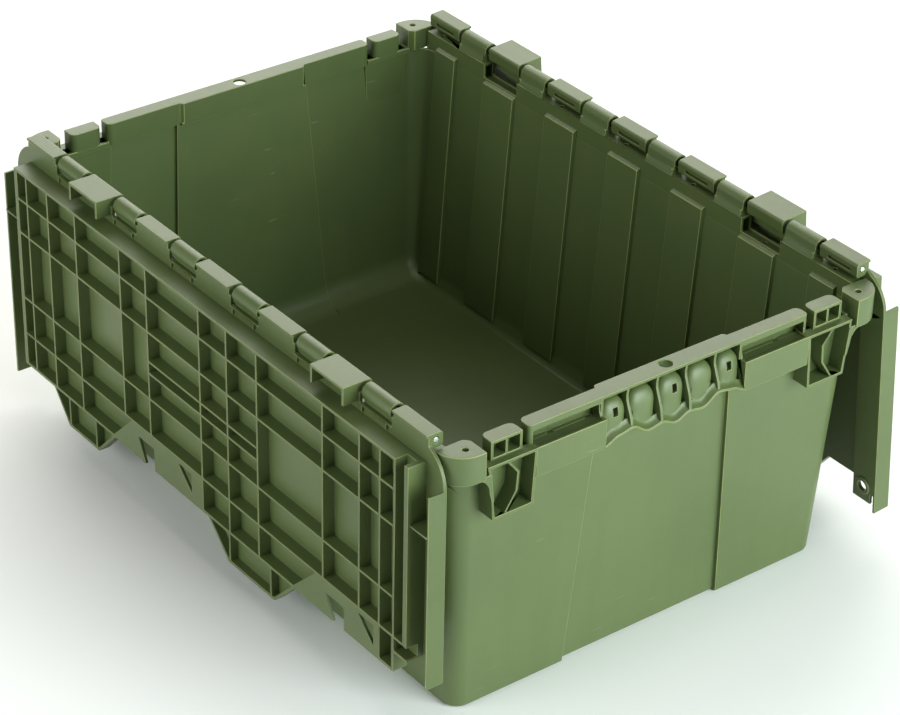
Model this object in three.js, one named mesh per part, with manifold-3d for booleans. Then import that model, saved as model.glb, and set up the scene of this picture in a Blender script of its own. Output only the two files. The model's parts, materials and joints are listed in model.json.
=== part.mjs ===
// Attached lid tote: a tapered moulded tub with a hinge rail along each long side, a rim with a
// hand grip at each end, and two interlocking lid leaves that swing on steel rods.
// Millimetres, +Z up. The origin is the middle of the underside. Y runs along the tote, from the
// front end (-Y) to the back end (+Y). Both leaves hang open on the outside, as stored.

import * as THREE from 'three';
import { mergeVertices } from 'three/addons/utils/BufferGeometryUtils.js';
import Module from 'manifold-3d';

const wasm = await Module();
wasm.setup();

// Driving dimensions

const GAP = 0.35;             // space between neighbouring solids
const MERGE = 0.02;           // edges shorter than this are closed up after a join
const WALL = 2.6;             // wall of the tub
const SHEET = 2.2;            // wall of ribs, skirts and small boxes

// Half sizes and corner radius of the tub: the flat underside, just above the rounded bottom
// edge, and the mouth.
const FOOT = { x: 164.5, y: 244.5, radius: 11 };
const BASE = { x: 167, y: 247, radius: 12 };
const MOUTH = { x: 181, y: 258, radius: 20 };
const FOOT_HEIGHT = 2.5;
const TUB_HEIGHT = 206;
const FLOOR = 3;
const COVE = { x: 158, y: 226, radius: 10, top: 22 };  // flat inside floor, and the slope around it
const PANEL = { low: 71, high: 58, depth: 3.5 };       // sunk middle panel of each end wall

const RIM_TOP = 224.5;
const RIM_PLATE = 2.5;
const RIM = { inner: 252, middle: 249, outer: 264, halfLength: 122, middleHalf: 58, lip: 5 };
const SEAL_HOLE = { y: 256, radius: 3 };
const FRONT = 270;            // outer face of trays, pockets and grips
const LEDGE_TOP = 210;
const TRAY = { from: 61, to: 120, bottom: 187, floor: 199 };
const POCKET = { from: 121, to: 160, bottom: 167, back: 259.5 };
const BLOCK = { from: 130, to: 152, inner: 250, bottom: 211 };
const CAP = { from: 161, to: 188.5, inner: 250.2, outer: 273, bottom: 202.5, radius: 20 };
const CAP_HOLE = { x: 172.4, y: 261.1, radius: 2.4 };
const GRIP = { half: 60, lip: 261.4, bottom: 190, roof: 216, bays: 5 };

const AXIS = { x: 187, z: 231 };      // hinge axis of each leaf
const ROD_RADIUS = 2;
const ROD_HALF = 250;
const BORE_RADIUS = 2.45;
const BARREL_RADIUS = 6;
const RAIL = { inner: 178.6, outer: 189.5, floor: 222.2, top: 224.2, half: 249.8, skirtBottom: 202 };
const TOTE_KNUCKLES = [[22.5, 55], [100, 131.5], [175, 208.5]];   // from and to, each side of Y = 0
const LID_KNUCKLES = [[-21, 21], [57, 98.5], [210.5, 249.5]];
const HOOK = [133.5, 173];
const HOOK_SWEEP = 20;        // radius that a hook clears as it turns

// The leaf is described closed, in its own frame: s runs from the hinge axis to the middle of the
// tote, h is the height above the axis.
const LEAF = {
  top: -3.5, under: -6,       // border plate
  fieldTop: -9, fieldUnder: -11.4,
  tips: -21,                  // rib ends
  shelfTop: -18.6,
  toothTips: -18,
  slotEdge: 8, cornerStart: 1,
};
const ROWS = {
  wall: 14.5, first: 38, second: 67, slotA: 92, slotB: 102, third: 124, shelf: 156, edge: 186, tip: 215,
};
const END_WALL = 248;         // outer face of the leaf's sunk field at each end
const SKIRT = { plain: 266.3, tab: 268.8, from: 31, plainTo: 183, tabTo: 205, tips: -18 };
const GUSSET = 59.5;          // web between the end wall and each skirt, clear of rims and blocks
const PLAIN_END = 170;        // where the border plate stops at the plain end
const TAB = { to: 199, hole: 187, slit: 190.5 };  // the slit lets in the other leaf's skirt
const LONG_RIBS = [231, 201, 162, 101, 66, -1.1, -37, -74, -152, -194, -217, -232.5];
const EDGE_RIBS = [231, 201, 162, -1.1, -37, -74, -217, -232.5];  // those that run on to the free edge
const SLOT_SPAN = [-74, 66];
const TOOTH_RIBS = [187, 149, -33, -85];
const REST_SPLAY = { left: 0, right: 4 };  // degrees out from hanging plumb

// Solids

function solidOf(geometry) {
  const bare = geometry.clone();
  bare.deleteAttribute('normal');
  bare.deleteAttribute('uv');
  const merged = mergeVertices(bare, 1e-4);
  return new wasm.Manifold(new wasm.Mesh({
    numProp: 3,
    vertProperties: new Float32Array(merged.attributes.position.array),
    triVerts: new Uint32Array(merged.index.array),
  }));
}

// Flat faces that came from different pieces are first run together.
function geometryOf(solid) {
  const mesh = solid.asOriginal().simplify(MERGE).getMesh();
  const geometry = new THREE.BufferGeometry();
  geometry.setAttribute('position', new THREE.BufferAttribute(mesh.vertProperties, 3));
  geometry.setIndex(new THREE.BufferAttribute(mesh.triVerts, 1));
  geometry.computeVertexNormals();
  return geometry;
}

function box(x0, x1, y0, y1, z0, z1) {
  const size = [x1 - x0, y1 - y0, z1 - z0].map(Math.abs);
  const geometry = new THREE.BoxGeometry(...size);
  geometry.translate((x0 + x1) / 2, (y0 + y1) / 2, (z0 + z1) / 2);
  return solidOf(geometry);
}

function extrude(points, length, basis) {
  const shape = points instanceof THREE.Shape ? points
    : new THREE.Shape(points.map(([a, b]) => new THREE.Vector2(a, b)));
  const geometry = new THREE.ExtrudeGeometry(shape, { depth: length, bevelEnabled: false, curveSegments: 5 });
  if (basis) geometry.applyMatrix4(basis);
  return geometry;
}

// Outline in X and Y, drawn up from z0 to z1.
function upright(points, z0, z1) {
  return solidOf(extrude(points, z1 - z0).translate(0, 0, z0));
}

// Outline in X and Z, drawn along Y from y0 to y1.
function alongY(points, y0, y1) {
  const basis = new THREE.Matrix4().makeBasis(
    new THREE.Vector3(1, 0, 0), new THREE.Vector3(0, 0, 1), new THREE.Vector3(0, -1, 0));
  return solidOf(extrude(points, y1 - y0, basis).translate(0, y1, 0));
}

function roundY(x, z, radius, y0, y1, sides = 12) {
  const geometry = new THREE.CylinderGeometry(radius, radius, y1 - y0, sides);
  return solidOf(geometry.translate(x, (y0 + y1) / 2, z));
}

function roundZ(x, y, radius, z0, z1, sides = 12) {
  const geometry = new THREE.CylinderGeometry(radius, radius, z1 - z0, sides);
  return solidOf(geometry.rotateX(Math.PI / 2).translate(x, y, (z0 + z1) / 2));
}

function join(solids) {
  return solids.reduce((whole, piece) => whole.add(piece));
}

function cut(solid, pieces) {
  return pieces.reduce((rest, piece) => rest.subtract(piece), solid);
}

// Box given by distances from the two middle planes, on the side that xSide and ySide name.
function sideBox(xSide, ySide, x0, x1, y0, y1, z0, z1) {
  const xs = [x0 * xSide, x1 * xSide].sort((a, b) => a - b);
  const ys = [y0 * ySide, y1 * ySide].sort((a, b) => a - b);
  return box(...xs, ...ys, z0, z1);
}

function sorted(side, from, to) {
  return side > 0 ? [from, to] : [-to, -from];
}

// Tub

function roundedRectangle(halfX, halfY, radius) {
  const shape = new THREE.Shape();
  shape.moveTo(-halfX + radius, -halfY);
  shape.lineTo(halfX - radius, -halfY);
  shape.absarc(halfX - radius, -halfY + radius, radius, -Math.PI / 2, 0);
  shape.lineTo(halfX, halfY - radius);
  shape.absarc(halfX - radius, halfY - radius, radius, 0, Math.PI / 2);
  shape.lineTo(-halfX + radius, halfY);
  shape.absarc(-halfX + radius, halfY - radius, radius, Math.PI / 2, Math.PI);
  shape.lineTo(-halfX, -halfY + radius);
  shape.absarc(-halfX + radius, -halfY + radius, radius, Math.PI, Math.PI * 1.5);
  return shape;
}

// Rounded block that goes from one set of half sizes and corner radius at z0 to another at z1.
function taperedBlock(low, high, z0, z1) {
  const geometry = extrude(roundedRectangle(low.x, low.y, low.radius), z1 - z0);
  const position = geometry.attributes.position;
  const growth = high.radius / low.radius;
  const moved = (value, from, to) => {
    const side = Math.sign(value);
    return side * (to - high.radius) + (value - side * (from - low.radius)) * growth;
  };
  for (let i = 0; i < position.count; i += 1) {
    if (position.getZ(i) > 0.5 * (z1 - z0)) {
      position.setX(i, moved(position.getX(i), low.x, high.x));
      position.setY(i, moved(position.getY(i), low.y, high.y));
    }
  }
  return solidOf(geometry.translate(0, 0, z0));
}

function sizesAt(z, inset = 0) {
  const t = (z - FOOT_HEIGHT) / (TUB_HEIGHT - FOOT_HEIGHT);
  const between = (name) => BASE[name] + t * (MOUTH[name] - BASE[name]) - inset;
  return { x: between('x'), y: between('y'), radius: between('radius') };
}

function shorter(sizes, depth) {
  return { ...sizes, y: sizes.y - depth };
}

function outerBlock(depth) {
  const foot = taperedBlock(shorter(FOOT, depth), shorter(BASE, depth), 0, FOOT_HEIGHT);
  return foot.add(taperedBlock(shorter(BASE, depth), shorter(MOUTH, depth), FOOT_HEIGHT, TUB_HEIGHT));
}

function innerBlock(depth) {
  const over = TUB_HEIGHT + 1;
  const walls = shorter(sizesAt(COVE.top, WALL), depth);
  const cove = taperedBlock(shorter(COVE, depth), walls, FLOOR, COVE.top);
  return cove.add(taperedBlock(walls, shorter(sizesAt(over, WALL), depth), COVE.top, over));
}

// Sinks the middle panel of both end walls into a block by cutting to a shorter one there.
function withPanels(block, shorterBlock, inset) {
  const outline = [
    [-PANEL.low - inset, -1], [PANEL.low + inset, -1],
    [PANEL.high + inset, TUB_HEIGHT + 2], [-PANEL.high - inset, TUB_HEIGHT + 2],
  ];
  return block.subtract(alongY(outline, -300, 300).subtract(shorterBlock));
}

function makeTub() {
  const outer = withPanels(outerBlock(0), outerBlock(PANEL.depth), 0);
  const inner = withPanels(innerBlock(0), innerBlock(PANEL.depth), WALL);
  return outer.subtract(inner);
}

// End rims. Each has a top plate with the seal hole, an inner wall that steps inwards over the sunk
// middle panel, ledges that reach the tub's wall, and a lip along the outer edge beside the grip.

function makeEndRim(ySide) {
  const low = TUB_HEIGHT + GAP;
  const half = RIM.halfLength;
  const middle = RIM.middleHalf;
  const under = RIM_TOP - RIM_PLATE;
  const solids = [
    sideBox(1, ySide, -half, half, RIM.inner, RIM.outer, under, RIM_TOP),
    sideBox(1, ySide, -middle, middle, RIM.middle, RIM.inner + 1, under, RIM_TOP),
    sideBox(1, ySide, -middle, middle, RIM.middle, RIM.middle + SHEET, low, RIM_TOP),
    sideBox(1, ySide, -middle, middle, RIM.middle, MOUTH.y - PANEL.depth, low, low + SHEET),
  ];
  for (const xSide of [-1, 1]) {
    solids.push(sideBox(xSide, ySide, middle - SHEET, middle, RIM.middle, MOUTH.y, low, RIM_TOP));
    solids.push(sideBox(xSide, ySide, middle - 1, half, RIM.inner, RIM.inner + SHEET, low, RIM_TOP));
    solids.push(sideBox(xSide, ySide, middle - 1, half, RIM.inner, MOUTH.y, low, low + SHEET));
    solids.push(sideBox(xSide, ySide, half - SHEET, half, RIM.inner, MOUTH.y, low, RIM_TOP));
    solids.push(sideBox(xSide, ySide, GRIP.half + 1, half, RIM.outer - SHEET, RIM.outer,
      RIM_TOP - RIM.lip, RIM_TOP));
  }
  return join(solids).subtract(roundZ(0, ySide * SEAL_HOLE.y, SEAL_HOLE.radius, under - 1, RIM_TOP + 1));
}

// Low tray beside the grip: open above and below, with one floor.
function makeTray(xSide, ySide) {
  const back = MOUTH.y + GAP;
  const frame = sideBox(xSide, ySide, TRAY.from, TRAY.to, back, FRONT, TRAY.bottom, LEDGE_TOP);
  const spanX = [TRAY.from + SHEET, TRAY.to - SHEET];
  const spanY = [back + SHEET, FRONT - SHEET];
  return cut(frame, [
    sideBox(xSide, ySide, ...spanX, ...spanY, TRAY.floor, LEDGE_TOP + 1),
    sideBox(xSide, ySide, ...spanX, ...spanY, TRAY.bottom - 1, TRAY.floor - SHEET),
  ]);
}

// Box pocket, open to the front, with a bent rib inside.
function makePocket(xSide, ySide) {
  const from = POCKET.from;
  const to = POCKET.to;
  const shell = sideBox(xSide, ySide, from, to, POCKET.back, FRONT, POCKET.bottom, LEDGE_TOP);
  const hollow = sideBox(xSide, ySide, from + SHEET, to - SHEET, POCKET.back + SHEET, FRONT + 1,
    POCKET.bottom + SHEET, LEDGE_TOP - SHEET);
  const middle = (POCKET.bottom + LEDGE_TOP) / 2;
  const bend = from + 12;
  const outline = [
    [from + 21, LEDGE_TOP - 1], [bend, middle + 7], [bend, middle - 7], [from + 19, POCKET.bottom + 1],
    [from + 19 + SHEET, POCKET.bottom + 1], [bend + SHEET, middle - 7], [bend + SHEET, middle + 7],
    [from + 21 + SHEET, LEDGE_TOP - 1],
  ].map(([x, z]) => [x * xSide, z]);
  const rib = alongY(outline, ...sorted(ySide, POCKET.back + 1, FRONT - 3));
  return shell.subtract(hollow).add(rib);
}

// Hollow block between the rim plate and the corner cap, open to the outside, with a middle web.
function makeBlock(xSide, ySide) {
  const { from, to, inner, bottom } = BLOCK;
  const shell = sideBox(xSide, ySide, from, to, inner, RIM.outer, bottom, RIM_TOP);
  const web = (from + to) / 2;
  const back = inner + SHEET;
  return cut(shell, [
    sideBox(xSide, ySide, from + SHEET, web - SHEET / 2, back, RIM.outer + 1, bottom - 1, RIM_TOP - SHEET),
    sideBox(xSide, ySide, web + SHEET / 2, to - SHEET, back, RIM.outer + 1, bottom - 1, RIM_TOP - SHEET),
  ]);
}

// Corner cap: a plate with one round corner and a drilled hole, and a skirt below it.
function capOutline(xSide, ySide, inset) {
  const radius = CAP.radius - inset;
  const x0 = CAP.from + inset;
  const x1 = CAP.to - inset;
  const y0 = CAP.inner + inset;
  const y1 = CAP.outer - inset;
  const points = [[x0, y0], [x1, y0]];
  for (let i = 0; i <= 5; i += 1) {
    const angle = (i / 5) * Math.PI / 2;
    points.push([x1 - radius + radius * Math.cos(angle), y1 - radius + radius * Math.sin(angle)]);
  }
  points.push([x0, y1]);
  return points.map(([x, y]) => [x * xSide, y * ySide]);
}

function makeCap(xSide, ySide) {
  const under = RIM_TOP - RIM_PLATE;
  const skin = upright(capOutline(xSide, ySide, 0), CAP.bottom, RIM_TOP);
  const hollow = upright(capOutline(xSide, ySide, SHEET), CAP.bottom - 1, under);
  const room = sideBox(xSide, ySide, CAP.from - 1, MOUTH.x + GAP, CAP.inner - 1, MOUTH.y + GAP,
    CAP.bottom - 1, TUB_HEIGHT + GAP);
  const hole = roundZ(xSide * CAP_HOLE.x, ySide * CAP_HOLE.y, CAP_HOLE.radius, under - 1, RIM_TOP + 1, 10);
  return cut(skin, [hollow, room, hole]);
}

// Hand grip: a finger well, open below, in front of the sunk panel, with a fin between the bays.
function makeGrip(ySide) {
  const { half, bottom, roof, bays, lip } = GRIP;
  const top = RIM_TOP - RIM_PLATE - GAP;
  const back = RIM.middle + SHEET + GAP;
  const between = RIM.middleHalf - SHEET - GAP;
  const solids = [
    sideBox(1, ySide, -half, half, lip, lip + SHEET, bottom, roof + SHEET),
    sideBox(1, ySide, -between, between, back, lip + 1, roof, roof + SHEET),
  ];
  for (let i = 0; i <= bays; i += 1) {
    const x = -half + (i / bays) * (2 * half - SHEET);
    solids.push(sideBox(1, ySide, x, x + SHEET, lip + 1, RIM.outer, bottom, top));
    solids.push(sideBox(1, ySide, x, x + SHEET, lip + 1, FRONT, bottom, LEDGE_TOP));
  }
  return join(solids);
}

// Hinge rail: a channel with the tote's knuckles on it. Between them its inner wall is low, which
// leaves pockets for the leaf's knuckles, and it is cut away under the leaf's hooks.

function bothWays(ranges) {
  return ranges.flatMap(([from, to]) => (from < 0 ? [[from, to]] : [[from, to], [-to, -from]]));
}

function makeRail(xSide) {
  const { inner, outer, floor, top, half, skirtBottom } = RAIL;
  const low = TUB_HEIGHT + GAP;
  const solids = [
    sideBox(xSide, 1, inner, outer, -half, half, floor - SHEET, floor),
    sideBox(xSide, 1, inner, inner + SHEET, -half, half, low, floor),
    sideBox(xSide, 1, inner, MOUTH.x, -half, half, low, low + SHEET),
    sideBox(xSide, 1, outer - SHEET, outer, -half, half, skirtBottom, floor),
  ];
  for (const [from, to] of bothWays(TOTE_KNUCKLES)) {
    solids.push(roundY(xSide * AXIS.x, AXIS.z, BARREL_RADIUS, from, to));
    solids.push(sideBox(xSide, 1, AXIS.x - 4, outer, from, to, floor - 1, AXIS.z - 3));
    solids.push(sideBox(xSide, 1, inner, inner + SHEET, from, to, floor - 1, top));
    solids.push(sideBox(xSide, 1, inner, AXIS.x, from, from + SHEET, floor - 1, top));
    solids.push(sideBox(xSide, 1, inner, AXIS.x, to - SHEET, to, floor - 1, top));
  }
  const sweeps = bothWays([HOOK]).map(([from, to]) => (
    roundY(xSide * AXIS.x, AXIS.z, HOOK_SWEEP, from - 1, to + 1, 16)));
  const bore = roundY(xSide * AXIS.x, AXIS.z, BORE_RADIUS, -half - 1, half + 1);
  return cut(join(solids), [...sweeps, bore]);
}

// Leaf, closed, with the hinge axis at the origin: X is s and Z is h.

function strip(s0, s1, y0, y1, h0, h1) {
  return box(s0, s1, y0, y1, h0, h1);
}

function leafBorder() {
  const { top, under, slotEdge, cornerStart } = LEAF;
  const inner = ROWS.wall + SHEET;
  const corner = 28;
  const outline = new THREE.Shape();
  outline.moveTo(cornerStart + corner, -SKIRT.plain);
  outline.lineTo(PLAIN_END, -SKIRT.plain);
  outline.lineTo(PLAIN_END, SKIRT.plain - 25);
  outline.lineTo(TAB.to - 4, SKIRT.plain - 25);
  outline.lineTo(TAB.to, SKIRT.plain - 21);
  outline.lineTo(TAB.to, SKIRT.tab - SHEET);
  outline.lineTo(SKIRT.plainTo, SKIRT.tab - SHEET);
  outline.lineTo(SKIRT.plainTo, SKIRT.tab);
  outline.lineTo(cornerStart + corner, SKIRT.tab);
  outline.absarc(cornerStart + corner, SKIRT.tab - corner, corner, Math.PI / 2, Math.PI);
  outline.lineTo(cornerStart, -SKIRT.plain + corner);
  outline.absarc(cornerStart + corner, -SKIRT.plain + corner, corner, Math.PI, Math.PI * 1.5);
  const field = strip(inner, TAB.to + 1, -END_WALL + SHEET, END_WALL - SHEET, under - 1, top + 1);
  const slots = bothWays(TOTE_KNUCKLES).map(([from, to]) => (
    strip(cornerStart - 1, slotEdge, from - 1.6, to + 1.6, under - 1, top + 1)));
  const hole = roundZ(TAB.hole, SEAL_HOLE.y, SEAL_HOLE.radius, under - 1, top + 1);
  const slit = strip(TAB.slit, TAB.to + 1, SKIRT.plain - 2.4, SKIRT.tab - 2, under - 1, top + 1);
  return cut(upright(outline, under, top), [field, hole, slit, ...slots]);
}

function leafKnuckles() {
  const { top, under } = LEAF;
  const reach = 5.5;
  const bevel = 2.4;
  const solids = [];
  const outline = [
    [-reach + bevel, under], [reach, under], [reach, reach - bevel], [reach - bevel, reach],
    [-reach + bevel, reach], [-reach, reach - bevel], [-reach, under + bevel],
  ];
  for (const [from, to] of bothWays([...LID_KNUCKLES, HOOK])) {
    solids.push(alongY(outline, from, to));
    solids.push(strip(0, ROWS.wall, from, to, under, top));
  }
  for (const [from, to] of bothWays([HOOK])) {
    solids.push(strip(-reach, -reach + SHEET, from, to, SKIRT.tips, 0));
    const gusset = [
      [-reach, 0], [-reach, SKIRT.tips], [-reach + SHEET, SKIRT.tips],
      [ROWS.wall, under - 6], [ROWS.wall, under],
    ];
    solids.push(alongY(gusset, from, from + SHEET));
    solids.push(alongY(gusset, to - SHEET, to));
  }
  return solids;
}

// Sides of the two teeth: Y where each side crosses the shelf line, the free edge and the tip.
const TOOTH_ONE = { low: [88, 118, 147], high: [END_WALL, 214.5, 190] };
const TOOTH_TWO = { low: [-147.5, -117.5, -88.5], high: [0, 0, -30] };
const END_CELL = [-233.6, -215.9];

function toothPlan(tooth, inset) {
  const slant = 1.4 * inset;
  return [
    [ROWS.edge - 1, tooth.low[1] + slant], [ROWS.tip - inset, tooth.low[2] + slant - inset],
    [ROWS.tip - inset, tooth.high[2] - slant + inset], [ROWS.edge - 1, tooth.high[1] - slant],
  ];
}

function leafTeeth() {
  const { fieldTop, fieldUnder, toothTips } = LEAF;
  const solids = [];
  for (const tooth of [TOOTH_ONE, TOOTH_TWO]) {
    const shell = upright(toothPlan(tooth, 0), toothTips, fieldTop);
    solids.push(shell.subtract(upright(toothPlan(tooth, SHEET), toothTips - 1, fieldUnder)));
  }
  for (const y of TOOTH_RIBS) {
    solids.push(strip(ROWS.edge - 1, ROWS.tip - 1, y, y + SHEET, toothTips, fieldUnder + 1));
  }
  return solids;
}

// Full-depth part of the leaf between the shelf line and the free edge.
function edgeBody(tooth) {
  const { fieldTop, fieldUnder, tips } = LEAF;
  const [shelf, edge] = [ROWS.shelf, ROWS.edge];
  const outline = [
    [shelf, tooth.low[0]], [edge, tooth.low[1]], [edge, tooth.high[0]], [shelf, tooth.high[0]],
  ];
  const shell = upright(outline, tips, fieldTop);
  const far = tooth.high[0] - SHEET;
  const hollow = [
    [shelf + 1, tooth.low[0] + 4], [edge - SHEET, tooth.low[1] + 1], [edge - SHEET, far], [shelf + 1, far],
  ];
  return shell.subtract(upright(hollow, tips - 1, fieldUnder));
}

function leafShelves() {
  const { tips, shelfTop, fieldTop, fieldUnder } = LEAF;
  const [shelf, edge] = [ROWS.shelf, ROWS.edge];
  const shelfOne = [[shelf, -1], [edge, -1], [edge, TOOTH_ONE.low[1]], [shelf, TOOTH_ONE.low[0]]];
  const shelfTwo = [
    [shelf, END_CELL[1] - 1], [edge, END_CELL[1] - 1], [edge, TOOTH_TWO.low[1]], [shelf, TOOTH_TWO.low[0]],
  ];
  const endCell = strip(shelf, edge, ...END_CELL, tips, fieldTop).subtract(
    strip(shelf + 1, edge - SHEET, END_CELL[0] + SHEET, END_CELL[1] - SHEET, tips - 1, fieldUnder));
  return [
    upright(shelfOne, tips, shelfTop), upright(shelfTwo, tips, shelfTop),
    edgeBody(TOOTH_ONE), edgeBody(TOOTH_TWO), endCell,
  ];
}

function leafField() {
  const { top, fieldTop, fieldUnder, tips } = LEAF;
  const inside = END_WALL - SHEET;
  const pastShelf = ROWS.shelf + SHEET;
  const solids = [
    strip(ROWS.wall, pastShelf, -END_WALL, END_WALL, fieldUnder, fieldTop),
    strip(ROWS.wall, ROWS.wall + SHEET, -END_WALL, END_WALL, tips, top),
    strip(ROWS.wall, pastShelf, -END_WALL, -inside, tips, top),
    strip(ROWS.wall, ROWS.edge, inside, END_WALL, tips, top),
    strip(ROWS.shelf, PLAIN_END, -END_WALL, END_CELL[0] + 1, fieldUnder, fieldTop),
    strip(ROWS.shelf, PLAIN_END, -END_WALL, -inside, fieldUnder, top),
    strip(PLAIN_END - SHEET, PLAIN_END, -END_WALL, END_CELL[0] + 1, tips, top),
  ];
  for (const s of [ROWS.first, ROWS.second, ROWS.third, ROWS.shelf]) {
    solids.push(strip(s, s + SHEET, -END_WALL + 1, END_WALL - 1, tips, fieldUnder + 1));
  }
  for (const s of [ROWS.slotA, ROWS.slotB]) {
    solids.push(strip(s, s + SHEET, SLOT_SPAN[0], SLOT_SPAN[1], tips, fieldUnder + 1));
  }
  for (const y of LONG_RIBS) {
    const end = EDGE_RIBS.includes(y) ? ROWS.edge - 1 : ROWS.shelf + 1;
    solids.push(strip(ROWS.wall + 1, end, y - SHEET / 2, y + SHEET / 2, tips, fieldUnder + 1));
  }
  return solids;
}

function leafSkirts() {
  const { top } = LEAF;
  return [
    strip(SKIRT.from, SKIRT.plainTo, -SKIRT.plain, -SKIRT.plain + 1.8, SKIRT.tips, top),
    strip(SKIRT.from, SKIRT.tabTo, SKIRT.tab - 2, SKIRT.tab, SKIRT.tips, top),
    strip(GUSSET, GUSSET + 1.6, -SKIRT.plain + 1, -END_WALL + 1, SKIRT.tips, top - 1),
    strip(GUSSET, GUSSET + 1.6, END_WALL - 1, SKIRT.tab - 1, SKIRT.tips, top - 1),
  ];
}

function makeLeaf() {
  const solids = [
    leafBorder(), ...leafKnuckles(), ...leafField(), ...leafShelves(), ...leafTeeth(), ...leafSkirts(),
  ];
  const bore = roundY(0, 0, BORE_RADIUS, -260, 260);
  return join(solids).subtract(bore);
}

// Assembly

const tote = new THREE.Group();
const green = new THREE.Color(0.31, 0.38, 0.21);

function plastic(shade = 1) {
  const color = green.clone().multiplyScalar(shade);
  return new THREE.MeshStandardMaterial({ color, roughness: 0.42, metalness: 0 });
}

function addNode(parent, name, solid, material) {
  const mesh = new THREE.Mesh(geometryOf(solid), material);
  mesh.name = name;
  parent.add(mesh);
  return mesh;
}

const ENDS = [['front', -1], ['back', 1]];
const SIDES = [['left', -1], ['right', 1]];

addNode(tote, 'tote_tub', makeTub(), plastic());
for (const [end, ySide] of ENDS) {
  addNode(tote, `end_rim_${end}`, makeEndRim(ySide), plastic(1.04));
  addNode(tote, `hand_grip_${end}`, makeGrip(ySide), plastic(1.08));
  for (const [side, xSide] of SIDES) {
    addNode(tote, `rim_tray_${end}_${side}`, makeTray(xSide, ySide), plastic(1.02));
    addNode(tote, `tie_pocket_${end}_${side}`, makePocket(xSide, ySide), plastic(0.98));
    addNode(tote, `stop_block_${end}_${side}`, makeBlock(xSide, ySide), plastic(1.05));
    addNode(tote, `corner_cap_${end}_${side}`, makeCap(xSide, ySide), plastic(1.06));
  }
}

const leafSolid = makeLeaf();
const steel = new THREE.MeshStandardMaterial({ color: 0xb9bdc0, roughness: 0.3, metalness: 1 });
for (const [side, xSide] of SIDES) {
  addNode(tote, `hinge_rail_${side}`, makeRail(xSide), plastic(1.03));
  addNode(tote, `hinge_rod_${side}`, roundY(xSide * AXIS.x, AXIS.z, ROD_RADIUS, -ROD_HALF, ROD_HALF), steel);

  // A quarter turn about the hinge axis hangs the leaf; half a turn about Z makes it the right one.
  const turned = new THREE.Group();
  turned.rotation.z = xSide > 0 ? Math.PI : 0;
  const leaf = addNode(turned, `lid_leaf_${side}`, leafSolid, plastic(1.1));
  leaf.position.set(-AXIS.x, 0, AXIS.z);
  leaf.rotation.y = Math.PI / 2 + THREE.MathUtils.degToRad(REST_SPLAY[side]);
  tote.add(turned);
}

export default tote;
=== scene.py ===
"""Attached lid tote: a moulded tub with hinge rails, end rims, hand grips and two ribbed lid leaves
on steel rods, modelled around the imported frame. Modelling lengths are millimetres, and each
finished mesh is in metres."""

import json
import math

import bmesh
import bpy
from mathutils import Matrix, Vector

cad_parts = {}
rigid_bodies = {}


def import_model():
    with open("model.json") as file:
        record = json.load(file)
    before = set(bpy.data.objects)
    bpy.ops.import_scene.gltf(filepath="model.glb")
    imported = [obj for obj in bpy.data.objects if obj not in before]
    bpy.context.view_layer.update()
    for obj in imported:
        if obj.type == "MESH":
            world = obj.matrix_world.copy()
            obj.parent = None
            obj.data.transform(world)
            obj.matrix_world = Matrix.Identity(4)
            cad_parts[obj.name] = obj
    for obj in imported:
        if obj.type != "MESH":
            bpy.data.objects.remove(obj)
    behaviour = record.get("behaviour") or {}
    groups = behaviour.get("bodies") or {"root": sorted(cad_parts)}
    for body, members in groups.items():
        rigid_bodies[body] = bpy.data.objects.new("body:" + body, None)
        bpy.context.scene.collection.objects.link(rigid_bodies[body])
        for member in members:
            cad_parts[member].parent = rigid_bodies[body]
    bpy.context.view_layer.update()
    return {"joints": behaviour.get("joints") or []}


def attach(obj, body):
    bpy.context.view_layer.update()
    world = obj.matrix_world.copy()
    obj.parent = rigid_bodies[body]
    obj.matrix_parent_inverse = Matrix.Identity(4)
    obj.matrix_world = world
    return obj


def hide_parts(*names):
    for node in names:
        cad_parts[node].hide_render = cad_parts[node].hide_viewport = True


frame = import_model()
scene = bpy.context.scene

MM = 0.001                    # metres in a millimetre
WALL = 2.6                    # wall of the tub
SHEET = 2.2                   # ribs, skirts and small boxes
WELD = 0.45                   # points closer than this are run together before edges are rounded

JOINTS = {joint["name"]: joint for joint in frame["joints"]}
AXIS_X = JOINTS["right_leaf_hinge"]["pos_m"][0] / MM
AXIS_Z = JOINTS["right_leaf_hinge"]["pos_m"][2] / MM

# Solids --------------------------------------------------------------------------------------


def slab(x0, x1, y0, y1, z0, z1):
    """Closed box between two corners."""
    bm = bmesh.new()
    bmesh.ops.create_cube(bm, size=1)
    bmesh.ops.scale(bm, vec=(abs(x1 - x0), abs(y1 - y0), abs(z1 - z0)), verts=bm.verts)
    bmesh.ops.translate(bm, vec=((x0 + x1) / 2, (y0 + y1) / 2, (z0 + z1) / 2), verts=bm.verts)
    return bm


PLANES = {
    "X": (lambda a, b, c: (c, a, b), Vector((1, 0, 0))),
    "Y": (lambda a, b, c: (a, c, b), Vector((0, 1, 0))),
    "Z": (lambda a, b, c: (a, b, c), Vector((0, 0, 1))),
}


def prism(points, axis, start, end):
    """Outline in the plane across an axis, drawn along that axis from start to end."""
    place, direction = PLANES[axis]
    bm = bmesh.new()
    face = bm.faces.new([bm.verts.new(place(a, b, start)) for a, b in points])
    grown = bmesh.ops.extrude_face_region(bm, geom=[face])["geom"]
    moved = [item for item in grown if isinstance(item, bmesh.types.BMVert)]
    bmesh.ops.translate(bm, vec=direction * (end - start), verts=moved)
    bmesh.ops.recalc_face_normals(bm, faces=bm.faces)
    return bm


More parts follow.
